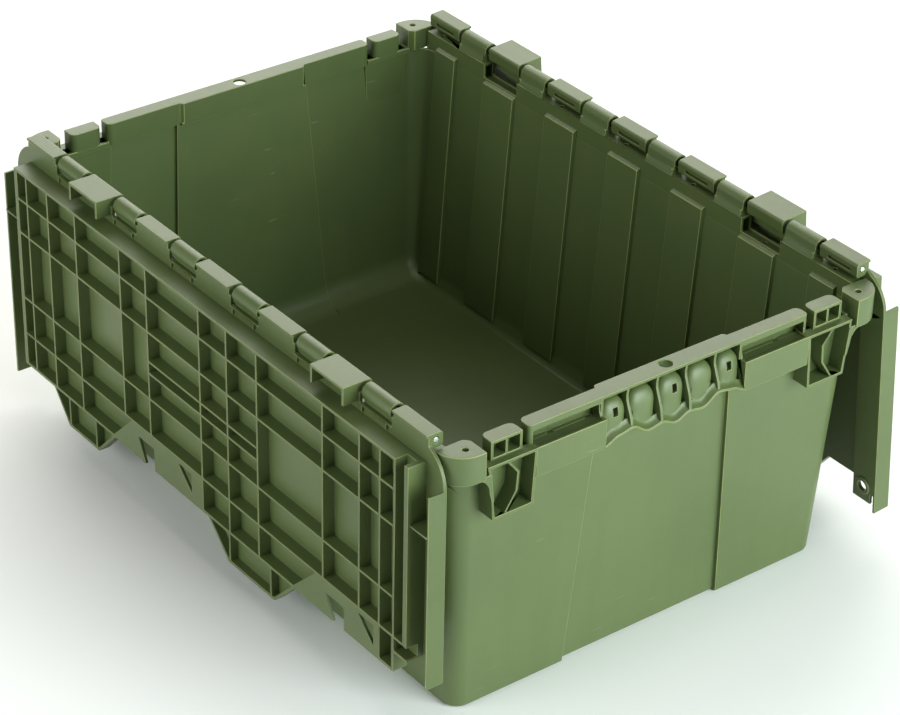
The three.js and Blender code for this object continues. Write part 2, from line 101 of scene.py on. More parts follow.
def rod(axis, a, b, radius, start, end, sides=32, tip=None):
    """Round bar along an axis; a and b are its centre in the plane across that axis."""
    place, direction = PLANES[axis]
    bm = bmesh.new()
    bmesh.ops.create_cone(bm, cap_ends=True, segments=sides, radius1=radius,
                          radius2=radius if tip is None else tip, depth=end - start)
    turn = Vector((0, 0, 1)).rotation_difference(direction).to_matrix()
    bmesh.ops.rotate(bm, cent=(0, 0, 0), matrix=turn, verts=bm.verts)
    bmesh.ops.translate(bm, vec=place(a, b, (start + end) / 2), verts=bm.verts)
    return bm


def arc(a, b, radius, start, end, steps=6):
    """Points on an arc about (a, b), between two angles in degrees."""
    angles = [math.radians(start + (end - start) * i / steps) for i in range(steps + 1)]
    return [(a + radius * math.cos(t), b + radius * math.sin(t)) for t in angles]


def mirrored(bm, x_side, y_side):
    """Turns a solid made for the right back corner to the corner that the two signs name."""
    bmesh.ops.scale(bm, vec=(x_side, y_side, 1), verts=bm.verts)
    if x_side * y_side < 0:
        bmesh.ops.reverse_faces(bm, faces=bm.faces)
    return bm


def as_object(name, bm):
    """Object at the origin made from a bmesh, which is used up."""
    mesh = bpy.data.meshes.new(name)
    bm.to_mesh(mesh)
    bm.free()
    piece = bpy.data.objects.new(name, mesh)
    scene.collection.objects.link(piece)
    return piece


def combine(solids, cuts=()):
    """One bmesh of closed solids run together, with others cut away."""
    base = as_object("base", solids[0])
    groups = []
    for operation, members in (("UNION", solids[1:]), ("DIFFERENCE", cuts)):
        if not members:
            continue
        group = bpy.data.collections.new("tools")
        for member in members:
            tool = as_object("tool", member)
            scene.collection.objects.unlink(tool)
            group.objects.link(tool)
        step = base.modifiers.new(operation, "BOOLEAN")
        step.operation = operation
        step.operand_type = "COLLECTION"
        step.collection = group
        step.solver = "MANIFOLD"
        groups.append(group)
    bpy.context.view_layer.update()
    shown = base.evaluated_get(bpy.context.evaluated_depsgraph_get())
    bm = bmesh.new()
    bm.from_mesh(shown.to_mesh())
    for group in groups:
        for tool in list(group.objects):
            bpy.data.objects.remove(tool)
        bpy.data.collections.remove(group)
    bpy.data.objects.remove(base)
    return bm


def soften(bm, radius, sharpest):
    """Rounds every edge and marks the outer ones with 1 and the inner ones with -1 in 'edge'."""
    bmesh.ops.remove_doubles(bm, verts=bm.verts, dist=WELD)
    bmesh.ops.dissolve_limit(bm, angle_limit=math.radians(1), verts=bm.verts, edges=bm.edges)
    edges = [e for e in bm.edges if e.calc_face_angle(0) > math.radians(sharpest)]
    made = bmesh.ops.bevel(bm, geom=edges, offset=radius, offset_type="OFFSET", segments=2,
                           profile=0.5, affect="EDGES", clamp_overlap=False, material=-1)
    bevels = set(made["faces"])
    layer = bm.verts.layers.float.new("edge")
    for vert in bm.verts:
        if vert.link_faces and all(face in bevels for face in vert.link_faces):
            turn = sum(edge.calc_face_angle_signed(0) for edge in vert.link_edges)
            vert[layer] = 1.0 if turn > 0 else -1.0
    return bm


def finish(name, bm, body, material, nodes, radius, sharpest=32, place=Matrix.Identity(4)):
    soften(bm, radius, sharpest)
    bm.transform(Matrix.Scale(MM, 4) @ place)
    for face in bm.faces:
        face.smooth = True
    piece = as_object(name, bm)
    piece.data.materials.append(material)
    weighted = piece.modifiers.new("shading", "WEIGHTED_NORMAL")
    weighted.keep_sharp = True
    weighted.weight = 50
    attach(piece, body)
    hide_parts(*nodes)
    return piece


# Lid leaves ----------------------------------------------------------------------------------
# A leaf is described closed, in its own frame: X runs from the hinge axis to the middle of the
# tote, Y along the hinge, and Z is the height above the axis. Its tab end is at +Y.

PLATE_TOP, PLATE_UNDER = -3.5, -6
FIELD_TOP, FIELD_UNDER = -9, -11.4
RIB_TIPS, SHELF_TOP, TOOTH_TIPS = -21, -18.6, -18
BAND = 14.5                   # wall beside the knuckles, the first of the rows
ROWS = (38, 67, 124)          # ribs along the leaf
SLOT_ROWS, SLOT_SPAN = (92, 102), (-74, 66)
SHELF, EDGE, TIP = 156, 186, 215            # lines where the shelves start, the teeth start and end
FIELD_END = 248
END_THICKNESS = 4.4
PLAIN_SKIRT, TAB_SKIRT = 266.3, 268.8       # outer faces of the two end skirts
SKIRT_FROM, PLAIN_TO, TAB_TO = 29, 183, 205
GUSSET, GUSSET_THICKNESS = 59.5, 1.6        # web between each skirt and the field
PLAIN_END, TAB_END = 170, 199
BORDER_CORNER = 28
TAB_NECK = 25                 # how far the tab reaches in from the skirt's line
SEAL_X, SEAL_Y = 186, 256     # seal hole in the tab
SEAL_RADIUS, SEAL_RING = 4.2, 7
TAB_SLIT = 190.5              # the slit from here out lets in the other leaf's skirt
CROSS_RIBS = (231, 201, 162, 101, 66, -2.4, -37, -74, -152, -194, -217, -233)
EDGE_RIBS = (231, 201, 162, -2.4, -37, -74, -217, -233)
TOOTH_RIBS = (187, 149, -33, -85)
# A tooth's two sides, each at the shelf line, the start of the tooth and its tip.
TOOTH_ONE = {"low": (88, 118, 147), "high": (FIELD_END, 214.5, 190)}
TOOTH_TWO = {"low": (-147.5, -117.5, -88.5), "high": (0, 0, -30)}
END_CELL = (-233.6, -215.9)
SHELF_OPENINGS = ((62, 12), (-177, -211))   # where each shelf's notch and window start
TOTE_KNUCKLES = ((23.6, 54.2), (101.2, 130.6), (175.8, 207.6))
LID_KNUCKLES = ((57.6, 97.6), (211.2, 249.5))
MIDDLE_KNUCKLE = (-20, 20)
HOOK = (134.2, 172.2)
KNUCKLE_SLOT = 8.4            # depth of the leaf's slot round a tote knuckle
KNUCKLE_ROOM = 1.6
REACH = 5.5                   # half width of a lid knuckle
HOOD_TO = 8.5                 # where the ends of a hook's hood stop
BORE = 2.45
ROD = 2


def both_ways(spans):
    """Spans along the hinge, each with the same one on the other side of the middle."""
    return [span for a, b in spans for span in ((a, b), (-b, -a))]


def rib(x0, x1, y0, y1, z0, z1, thin):
    """Rib that is thinner at its free edge; thin is the axis of its thickness."""
    bm = slab(x0, x1, y0, y1, z0, z1)
    middle = ((x0 + x1) / 2, (y0 + y1) / 2)[thin]
    for vert in bm.verts:
        share = 0.8 if vert.co.z < (z0 + z1) / 2 else 1.18
        vert.co[thin] = middle + (vert.co[thin] - middle) * share
    return bm


def leaf_border():
    """Flat border with two round corners, the seal tab and the ring round its hole."""
    corner, chamfer, neck = BORDER_CORNER, 4, PLAIN_SKIRT - TAB_NECK
    outline = [(PLAIN_END, -PLAIN_SKIRT), (PLAIN_END, neck), (TAB_END - chamfer, neck),
               (TAB_END, neck + chamfer), (TAB_END, TAB_SKIRT - 1)]
    outline += arc(1 + corner, TAB_SKIRT - corner, corner, 90, 180, 8)
    outline += arc(1 + corner, -PLAIN_SKIRT + corner, corner, 180, 270, 8)
    return combine([prism(outline, "Z", PLATE_UNDER, PLATE_TOP),
                    rod("Z", SEAL_X, SEAL_Y, SEAL_RING, PLATE_TOP - 1, PLATE_TOP + 1.2)])


def leaf_border_cuts():
    """Field opening, tab slit, seal hole and the slots round the tote's knuckles."""
    end, low, high = FIELD_END - SHEET, PLATE_UNDER - 1, PLATE_TOP + 1
    cuts = [slab(BAND + SHEET, TAB_END + 1, -end, end, low, high),
            slab(TAB_SLIT, TAB_END + 1, PLAIN_SKIRT - 2.4, TAB_SKIRT - 2, low, high),
            rod("Z", SEAL_X, SEAL_Y, SEAL_RADIUS, low - 2, high + 2)]
    for a, b in both_ways(TOTE_KNUCKLES):
        cuts.append(slab(0, KNUCKLE_SLOT, a - KNUCKLE_ROOM, b + KNUCKLE_ROOM, low, high))
    return cuts


def leaf_knuckles():
    """Curled knuckles with flat tops, and hooks with a hood over each."""
    curl, lip, inner, outer = PLATE_UNDER - 1.5, 2, 2, 2.4
    outline = [(REACH, PLATE_UNDER), *arc(REACH - inner, REACH - inner, inner, 0, 90, 4),
               *arc(-REACH + outer, REACH - outer, outer, 90, 180, 4), (-REACH, curl),
               (-REACH + lip, curl), (-REACH + lip, PLATE_UNDER)]
    solids = []
    for a, b in both_ways((*LID_KNUCKLES, HOOK)) + [MIDDLE_KNUCKLE]:
        solids.append(prism(outline, "Y", a, b))
        solids.append(slab(0, BAND, a, b, PLATE_UNDER, PLATE_TOP))
    for a, b in both_ways((HOOK,)):
        solids.append(slab(-REACH, -REACH + SHEET, a, b, TOOTH_TIPS, 0))
        for y in (a, b - SHEET):
            solids.append(slab(-REACH, HOOD_TO, y, y + SHEET, TOOTH_TIPS, PLATE_UNDER + 1))
    return solids


def knuckle_slits():
    """Narrow slit along the inner face of each knuckle."""
    return [slab(-0.6, 2.2, a + 8, b - 7, REACH - 3, REACH + 1)
            for a, b in both_ways(LID_KNUCKLES) + [MIDDLE_KNUCKLE]]


def slot_lips():
    """Raised lip below each tote knuckle's slot, with a small fin near either end."""
    solids = []
    for a, b in both_ways(TOTE_KNUCKLES):
        solids.append(slab(KNUCKLE_SLOT, KNUCKLE_SLOT + 1.4, a - KNUCKLE_ROOM, b + KNUCKLE_ROOM,
                           PLATE_UNDER - 0.6, PLATE_TOP - 0.6))
        for y in (a + 2, b - 3):
            solids.append(slab(9, 13, y, y + 1, PLATE_UNDER - 1.8, PLATE_UNDER + 1))
    return solids


def leaf_field():
    """Sunk plate with its walls, the long ribs and the cross ribs."""
    inside = FIELD_END - END_THICKNESS
    past = SHELF + SHEET
    root = FIELD_UNDER + 1
    solids = [
        slab(BAND, past, -FIELD_END, FIELD_END, FIELD_UNDER, FIELD_TOP),
        slab(BAND, BAND + SHEET, -FIELD_END, FIELD_END, RIB_TIPS, PLATE_TOP),
        slab(BAND, past, -FIELD_END, -inside, RIB_TIPS, PLATE_TOP),
        slab(BAND, EDGE, inside, FIELD_END, RIB_TIPS, PLATE_TOP),
        slab(SHELF, PLAIN_END, -FIELD_END, END_CELL[0] + 1, FIELD_UNDER, FIELD_TOP),
        slab(SHELF, PLAIN_END, -FIELD_END, -FIELD_END + SHEET, FIELD_UNDER, PLATE_TOP),
        slab(PLAIN_END - SHEET, PLAIN_END, -FIELD_END, END_CELL[0] + 1, RIB_TIPS, PLATE_TOP),
    ]
    for x in (*ROWS, SHELF):
        solids.append(rib(x, x + SHEET, -FIELD_END + 1, FIELD_END - 1, RIB_TIPS, root, 0))
    for x in SLOT_ROWS:
        solids.append(rib(x, x + SHEET, *SLOT_SPAN, RIB_TIPS, root, 0))
    for y in CROSS_RIBS:
        end = EDGE - 1 if y in EDGE_RIBS else SHELF + 1
        solids.append(rib(BAND + 1, end, y - SHEET / 2, y + SHEET / 2, RIB_TIPS, root, 1))
    return solids


def tooth_plan(tooth, inset):
    """Outline of a tooth, drawn in by inset on its slanting sides and its tip."""
    slant = 1.4 * inset
    low, high = tooth["low"], tooth["high"]
    return [(EDGE - 1, low[1] + slant), (TIP - inset, low[2] + slant - inset),
            (TIP - inset, high[2] - slant + inset), (EDGE - 1, high[1] - slant)]


def edge_body(tooth):
    """Full-depth part of the leaf between the shelf line and the free edge, hollow below."""
    low, far = tooth["low"], tooth["high"][0]
    shell = prism([(SHELF, low[0]), (EDGE, low[1]), (EDGE, far), (SHELF, far)], "Z", RIB_TIPS, FIELD_TOP)
    near = far - SHEET
    hollow = [(SHELF + 1, low[0] + 4), (EDGE - SHEET, low[1] + 1), (EDGE - SHEET, near), (SHELF + 1, near)]
    return combine([shell], [prism(hollow, "Z", RIB_TIPS - 1, FIELD_UNDER)])


def shelf(start, tooth):
    """Low plate that carries the other leaf's tooth."""
    start = start - 1
    outline = [(SHELF, start), (EDGE, start), (EDGE, tooth["low"][1]), (SHELF, tooth["low"][0])]
    return prism(outline, "Z", RIB_TIPS, SHELF_TOP)


def end_cell():
    """Small hollow box at the plain end of the edge."""
    low, high = END_CELL
    return combine([slab(SHELF, EDGE, low, high, RIB_TIPS, FIELD_TOP)],
                   [slab(SHELF + 1, EDGE - SHEET, low + SHEET, high - SHEET, RIB_TIPS - 1, FIELD_UNDER)])


def leaf_edge():
    """Shelves, the hollow bodies behind the teeth, the teeth and the end cell."""
    solids = [shelf(0, TOOTH_ONE), shelf(END_CELL[1], TOOTH_TWO), edge_body(TOOTH_ONE),
              edge_body(TOOTH_TWO), end_cell()]
    for tooth in (TOOTH_ONE, TOOTH_TWO):
        shell = prism(tooth_plan(tooth, 0), "Z", TOOTH_TIPS, FIELD_TOP)
        solids.append(combine([shell], [prism(tooth_plan(tooth, SHEET), "Z", TOOTH_TIPS - 1, FIELD_UNDER)]))
    for y in TOOTH_RIBS:
        solids.append(slab(EDGE - 1, TIP - 1, y, y + SHEET, TOOTH_TIPS, FIELD_UNDER + 1))
    return solids


def shelf_cuts():
    """Notch and three-cornered window in each shelf."""
    notch_from, window_from, window_width = 167, 161, 17
    cuts = []
    for notch, corner in SHELF_OPENINGS:
        opening = [(notch_from, notch), (EDGE + 1, notch), (EDGE + 1, notch + 12), (notch_from, notch + 21)]
        window = [(window_from, corner), (window_from + window_width, corner),
                  (window_from, corner + window_width)]
        cuts += [prism(outline, "Z", RIB_TIPS - 1, SHELF_TOP + 1) for outline in (opening, window)]
    return cuts


def leaf_skirts():
    """End skirts, each with a web to the end of the field."""
    web = (GUSSET, GUSSET + GUSSET_THICKNESS)
    heights = (TOOTH_TIPS - 1, PLATE_TOP - 1)
    return [
        slab(SKIRT_FROM, PLAIN_TO, -PLAIN_SKIRT, -PLAIN_SKIRT + 1.5, TOOTH_TIPS, PLATE_TOP),
        slab(SKIRT_FROM, TAB_TO, TAB_SKIRT - 2, TAB_SKIRT, TOOTH_TIPS, PLATE_TOP),
        slab(*web, -PLAIN_SKIRT + 1, -FIELD_END + 1, *heights),
        slab(*web, FIELD_END - 1, TAB_SKIRT - 1, *heights),
    ]


def end_groove():
    """Groove between the last cross rib and the end wall, open towards the hinge."""
    return [slab(BAND - 1, SHELF - 1, -FIELD_END + END_THICKNESS, CROSS_RIBS[-1] - SHEET * 0.6,
                 RIB_TIPS - 1, FIELD_UNDER)]


def make_leaf(side, turn, splay, material):
    """Hanging leaf. It is turned about Z to its own side, and splay is its angle out from plumb."""
    solids = [leaf_border(), *leaf_field(), *leaf_edge(), *leaf_skirts(), *leaf_knuckles(), *slot_lips()]
    cuts = [*leaf_border_cuts(), *knuckle_slits(), *shelf_cuts(), *end_groove(),
            rod("Y", 0, 0, BORE, -270, 270, 24)]
    place = (Matrix.Rotation(turn, 4, "Z") @ Matrix.Translation((-AXIS_X, 0, AXIS_Z))
             @ Matrix.Rotation(math.radians(90 + splay), 4, "Y"))
    return finish(f"lid_leaf_moulding_{side}", combine(solids, cuts), f"{side}_leaf",
                  material, [f"lid_leaf_{side}"], radius=0.42, place=place)


# Tote body ------------------------------------------------------------------------------------
# Corner pieces are made for the right back corner and mirrored. Right is +X and back is +Y.

# Levels of the tub are half sizes, corner radius and height.
FOOT = (164.5, 244.5, 11, 0)
BASE = (167, 247, 12, 2.5)
MOUTH = (181, 258, 20, 206)
TUB_TOP = 207.4
FLOOR_EDGE = (158, 224, 8, 3)  # flat inside floor
COVE_TOP = 24                  # where the curve round the floor meets the walls
PANEL_LOW, PANEL_HIGH, PANEL_DEPTH = 71, 58, 3.5   # half widths of the sunk part of an end wall
RIM_TOP, RIM_UNDER = 224.5, 222
RIM_INNER, RIM_MIDDLE, RIM_OUTER, RIM_END = 252, 249, 264, 122.7
DEEP_HALF, GRIP_HALF = 58, 62  # half widths of the rim's deeper middle and of the grip
STEP = 205.9                   # underside of the rims' inner walls
LEDGE = 210                    # top of the trays and pockets
FRONT = 270                    # outer face of the trays and pockets
RIM_HOLE = 5
MARKS = (-99.4, -67.3, 67.3, 99.4)
TRAY_FROM, TRAY_TO, TRAY_BACK, TRAY_BOTTOM, TRAY_FLOOR = 61, 120, 257.6, 187, 208.1
LEDGE_FROM, LEDGE_TO = 121.8, 163
POCKET_BACK, POCKET_BOTTOM = 253.5, 167
BLOCK_FROM, BLOCK_TO, BLOCK_WEB = 128, 154, 141
CAP = (163, 189.4, 250.6, 272)  # sides of a corner cap
CAP_BOTTOM, CAP_RADIUS = 202.5, 20
CAP_HOLE = (172.4, 261.1, 2.3)
WALL_FACE, RAIL_FACE = 178.6, 189.5   # inner and outer face of a hinge rail
RAIL_HALF, RAIL_TOP = 249.6, 222.2
POCKET_FLOOR, NOTCH = 209.2, 210.9    # in a rail, under each hook
PILASTERS = ((57, 93), (-19, 16), (-93, -57), (208.7, 234), (-234, -208.7))
HOOK_PILASTERS = ((133, 171), (-171, -133))
PILASTER_DEPTH = 3.2
PILASTER_TOP = 213.5
HOOK_PILASTER_TOP = 209.8
BARREL = 6
GRIP_BOTTOM = 183
FINS = (-62, -38.5, -12.7, 12.7, 38.5, 62)
FINGER_HOLES = (-50, 1.5, 50)
LIP_KNOTS = ((0, 184.5), (12, 188.8), (23.5, 187), (38.5, 194.5), (50, 192.5), (62, 188))


def rounded(half_x, half_y, radius):
    """Rectangle with round corners."""
    points = []
    for a, b, start in ((1, 1, 0), (-1, 1, 90), (-1, -1, 180), (1, -1, 270)):
        points += arc(a * (half_x - radius), b * (half_y - radius), radius, start, start + 90, 8)
    return points


def loft(levels):
    """Closed block through rounded rectangles."""
    x, y, radius, z = levels[0]
    bm = bmesh.new()
    first = face = bm.faces.new([bm.verts.new((px, py, z)) for px, py in rounded(x, y, radius)])
    for next_x, next_y, next_radius, next_z in levels[1:]:
        grown = bmesh.ops.extrude_face_region(bm, geom=[face])["geom"]
        if face is not first:
            bmesh.ops.delete(bm, geom=[face], context="FACES_ONLY")
        face = next(item for item in grown if isinstance(item, bmesh.types.BMFace))
        growth = next_radius / radius
        for vert in face.verts:
            a, b = math.copysign(1, vert.co.x), math.copysign(1, vert.co.y)
            vert.co = (a * (next_x - next_radius) + (vert.co.x - a * (x - radius)) * growth,
                       b * (next_y - next_radius) + (vert.co.y - b * (y - radius)) * growth, next_z)
        x, y, radius, z = next_x, next_y, next_radius, next_z
    bmesh.ops.recalc_face_normals(bm, faces=bm.faces)
    return bm


def wall_level(z, inset=0):
    """Level of the tapered wall at a height, drawn in by inset."""
    share = (z - BASE[3]) / (MOUTH[3] - BASE[3])
    return (*(low + share * (high - low) - inset for low, high in zip(BASE[:3], MOUTH[:3])), z)


def curve_levels(low, high, steps=5):
    """Levels of a quarter curve that leaves the flat at low and turns upright at high."""
    turns = [math.radians(90 * i / steps) for i in range(steps + 1)]
    return [(*(a + (b - a) * math.sin(t) for a, b in zip(low[:3], high[:3])),
             low[3] + (high[3] - low[3]) * (1 - math.cos(t))) for t in turns]


def shorter(levels):
    """The same levels with both ends moved in by the depth of a panel."""
    return [(x, y - PANEL_DEPTH, radius, z) for x, y, radius, z in levels]


def with_panels(levels, inset):
    """Block whose two end walls are sunk in the middle."""
    outline = [(-PANEL_LOW - inset, -1), (PANEL_LOW + inset, -1),
               (PANEL_HIGH + inset, TUB_TOP + 2), (-PANEL_HIGH - inset, TUB_TOP + 2)]
    beyond = combine([prism(outline, "Y", -300, 300)], [loft(shorter(levels))])
    return combine([loft(levels)], [beyond])


def pilaster(x_side, a, b, height):
    """Upright rib on the inside of a long wall, from a to b along the tub."""
    foot = 9
    low, top = wall_level(foot, WALL)[0], wall_level(MOUTH[3], WALL)[0]
    outline = [(low - PILASTER_DEPTH, foot), (top - PILASTER_DEPTH, height - 1.5), (top, height),
               (top + 1, height), (low + 1, foot)]
    return prism([(x_side * x, z) for x, z in outline], "Y", a, b)


def make_tub(material):
    """Tub with its tapered walls, curved floor edge, inner ribs and the ledges under the blocks."""
    inside = [*curve_levels(FLOOR_EDGE, wall_level(COVE_TOP, WALL)), wall_level(TUB_TOP + 1, WALL)]
    solids = [combine([with_panels([*curve_levels(FOOT, BASE, 3), wall_level(TUB_TOP)], 0)],
                      [with_panels(inside, WALL)])]
    for x_side in (-1, 1):
        solids += [pilaster(x_side, a, b, PILASTER_TOP) for a, b in PILASTERS]
        solids += [pilaster(x_side, a, b, HOOK_PILASTER_TOP) for a, b in HOOK_PILASTERS]
        for y_side in (-1, 1):
            ledge = slab(LEDGE_FROM, LEDGE_TO, RIM_INNER, 262.5, STEP, LEDGE)
            solids.append(mirrored(ledge, x_side, y_side))
    return finish("tub_moulding", combine(solids), "tote", material, ["tote_tub"],
                  radius=0.7)


def rim_outline():
    """Rim seen from above, with rounder corners on the inside."""
    inner, outer = 5, 3
    half = [*arc(RIM_END - inner, RIM_INNER + inner, inner, 270, 360),
            *arc(RIM_END - outer, RIM_OUTER - outer, outer, 0, 90)]
    return half + [(-x, y) for x, y in reversed(half)]


def deep_outline():
    """The rim's middle, which stands further into the tote."""
    half, chamfer = DEEP_HALF, 2
    side = [(half - chamfer, RIM_MIDDLE), (half, RIM_MIDDLE + chamfer), (half, RIM_INNER + 1)]
    return [(-x, y) for x, y in reversed(side)] + side


def make_end_rim(end, y_side, material):
    """Rim across one end, open below and outwards, with the seal hole in its middle."""
    inside, lip, under = RIM_INNER + SHEET, RIM_OUTER - 1.8, STEP + SHEET
    solids = [
        prism(rim_outline(), "Z", STEP, RIM_TOP),
        prism(deep_outline(), "Z", STEP, RIM_TOP),
        slab(-DEEP_HALF, DEEP_HALF, RIM_MIDDLE, MOUTH[1] - PANEL_DEPTH, STEP, under),
    ]
    deep = DEEP_HALF - SHEET
    cuts = [
        slab(-RIM_END + SHEET, -GRIP_HALF, inside, lip, TRAY_FLOOR, RIM_UNDER),
        slab(GRIP_HALF, RIM_END - SHEET, inside, lip, TRAY_FLOOR, RIM_UNDER),
        slab(-deep, deep, RIM_MIDDLE + SHEET, RIM_OUTER + 1, under, RIM_UNDER),
        slab(-GRIP_HALF + 2, GRIP_HALF - 2, inside, RIM_OUTER + 1, under, RIM_UNDER),
        slab(-RIM_END - 1, RIM_END + 1, MOUTH[1] + 0.2, RIM_OUTER + 1, STEP - 1, LEDGE - 0.5),
        rod("Z", 0, SEAL_Y, RIM_HOLE, RIM_UNDER - 2, RIM_TOP + 1),
    ]
    cuts += [rod("Z", x, SEAL_Y + 0.6, 2.6, TRAY_FLOOR - 0.9, RIM_UNDER - 1, 24) for x in MARKS]
    for x0, x1 in ((-RIM_END + 3.6, -GRIP_HALF), (GRIP_HALF, RIM_END - 3.6)):
        cuts.append(slab(x0, x1, RIM_OUTER - 3, RIM_OUTER + 1, STEP, RIM_TOP - 5))
    bm = combine(solids, cuts)
    return finish(f"end_rim_{end}_moulding", mirrored(bm, 1, y_side), "tote", material,
                  [f"end_rim_{end}"], radius=0.55)


def corner_piece(kind, node, end, side, x_side, y_side, bm, material, radius=0.6):
    return finish(f"{kind}_{end}_{side}_moulding", mirrored(bm, x_side, y_side), "tote",
                  material, [f"{node}_{end}_{side}"], radius=radius)


def tray_solid():
    """Low tray beside the grip, hollow above and below its floor."""
    low, high, front = TRAY_FROM + SHEET, TRAY_TO - SHEET, FRONT - SHEET
    return combine([slab(TRAY_FROM, TRAY_TO, TRAY_BACK, FRONT, TRAY_BOTTOM, LEDGE)],
                   [slab(low, high, TRAY_BACK - 0.6, front, TRAY_FLOOR, LEDGE + 1),
                    slab(low, high, TRAY_BACK + SHEET, front, TRAY_BOTTOM - 1, TRAY_FLOOR - SHEET)])


def pocket_solid():
    """Box pocket whose walls draw in downwards, with a bent rib and a web under the corner cap."""
    floor, roof = POCKET_BOTTOM + 2, LEDGE - SHEET
    outline = [(119.5, LEDGE), (160.2, LEDGE), (155.6, POCKET_BOTTOM), (121.6, POCKET_BOTTOM)]
    hollow = [(121.5, roof), (158, roof), (153.7, floor), (123.6, floor)]
    bends = [(143, LEDGE - 1), (133.5, 197), (134.5, 183), (144, POCKET_BOTTOM + 1)]
    ribbon = bends + [(x + 1.8, z) for x, z in reversed(bends)]
    web = [(155, 182), (157, 182), *arc(172, 190.5, 13, 180, 90), (174, 204.5), (156, 204.5)]
    shell = combine([prism(outline, "Y", POCKET_BACK, FRONT), prism(web, "Y", FRONT - 2, FRONT + 0.8)],
                    [prism(hollow, "Y", POCKET_BACK + 3.5, FRONT + 1)])
    return combine([shell, prism(ribbon, "Y", POCKET_BACK + 3, FRONT - 0.8)])


def block_solid():
    """Stop block, hollow on both sides of a web and open outwards."""
    corner, outer, half_web = 5, RIM_OUTER + 0.5, 1
    outline = [*arc(BLOCK_FROM + corner, RIM_INNER + corner, corner, 180, 270, 5),
               *arc(BLOCK_TO - corner, RIM_INNER + corner, corner, 270, 360, 5),
               (BLOCK_TO, outer), (BLOCK_FROM, outer)]
    room = (RIM_INNER + 2.4, outer + 1.5, 211.6, 222.2)
    return combine([prism(outline, "Z", LEDGE - 1, RIM_TOP)],
                   [slab(BLOCK_FROM + SHEET, BLOCK_WEB - half_web, *room),
                    slab(BLOCK_WEB + half_web, BLOCK_TO - SHEET, *room)])


def cap_outline(inset):
    """Corner cap seen from above, with its outer corner round and its inner one cut off."""
    x0, x1, y0, y1 = CAP
    x0, x1, y0, y1 = x0 + inset, x1 - inset, y0 + inset, y1 - inset
    radius, chamfer = CAP_RADIUS - inset, 4
    return [(x0, y0 + chamfer), (x0 + chamfer, y0), (x1, y0),
            *arc(x1 - radius, y1 - radius, radius, 0, 90, 10), (x0, y1)]


def cap_solid():
    """Corner cap, hollow below, with its drilled hole and room for the hinge rail."""
    low = CAP_BOTTOM - 1.5
    return combine([prism(cap_outline(0), "Z", CAP_BOTTOM, RIM_TOP)],
                   [prism(cap_outline(SHEET), "Z", low, RIM_UNDER),
                    rod("Z", *CAP_HOLE, CAP_BOTTOM - 2.5, RIM_TOP + 5.5, 24),
                    slab(160, 180.5, 249, 256, low, LEDGE - 3)])


def lip_height(x):
    """Height of the grip's lower edge, which dips for each finger."""
    x = abs(x)
    for (x0, z0), (x1, z1) in zip(LIP_KNOTS, LIP_KNOTS[1:]):
        if x <= x1:
            share = (1 - math.cos(math.pi * (x - x0) / (x1 - x0))) / 2
            return z0 + share * (z1 - z0)
    return LIP_KNOTS[-1][1]


def swept(section, stations):
    """Section in Y and Z carried along X through stations of x and z."""
    (x, z), rest = stations[0], stations[1:]
    bm = bmesh.new()
    first = face = bm.faces.new([bm.verts.new((x, a, b + z)) for a, b in section])
    for next_x, next_z in rest:
        grown = bmesh.ops.extrude_face_region(bm, geom=[face])["geom"]
        if face is not first:
            bmesh.ops.delete(bm, geom=[face], context="FACES_ONLY")
        face = next(item for item in grown if isinstance(item, bmesh.types.BMFace))
        bmesh.ops.translate(bm, vec=(next_x - x, 0, next_z - z), verts=face.verts)
        x, z = next_x, next_z
    bmesh.ops.recalc_face_normals(bm, faces=bm.faces)
    return bm


def dome(x, half_width, out, low, high):
    """Finger form: a flattened column with a round top."""
    squareness, sides = 0.7, 16
    profile = [(math.copysign(abs(math.cos(t)) ** squareness, math.cos(t)), math.sin(t) ** squareness)
               for t in (math.radians(180 * i / sides) for i in range(sides + 1))]
    levels = [(1, GRIP_BOTTOM), (1, low)]
    for angle in (15, 30, 45, 60, 72, 82):
        t = math.radians(angle)
        levels.append((math.cos(t) ** squareness, low + high * math.sin(t)))
    bm = bmesh.new()
    rings = [[bm.verts.new((x + half_width * size * px, SEAL_Y + out * size * py, z)) for px, py in profile]
             for size, z in levels]
    bm.faces.new(rings[0])
    bm.faces.new(rings[-1])
    for ring, following in zip(rings, rings[1:]):
        for i in range(len(profile)):
            j = (i + 1) % len(profile)
            bm.faces.new((ring[i], ring[j], following[j], following[i]))
    bmesh.ops.recalc_face_normals(bm, faces=bm.faces)
    return bm


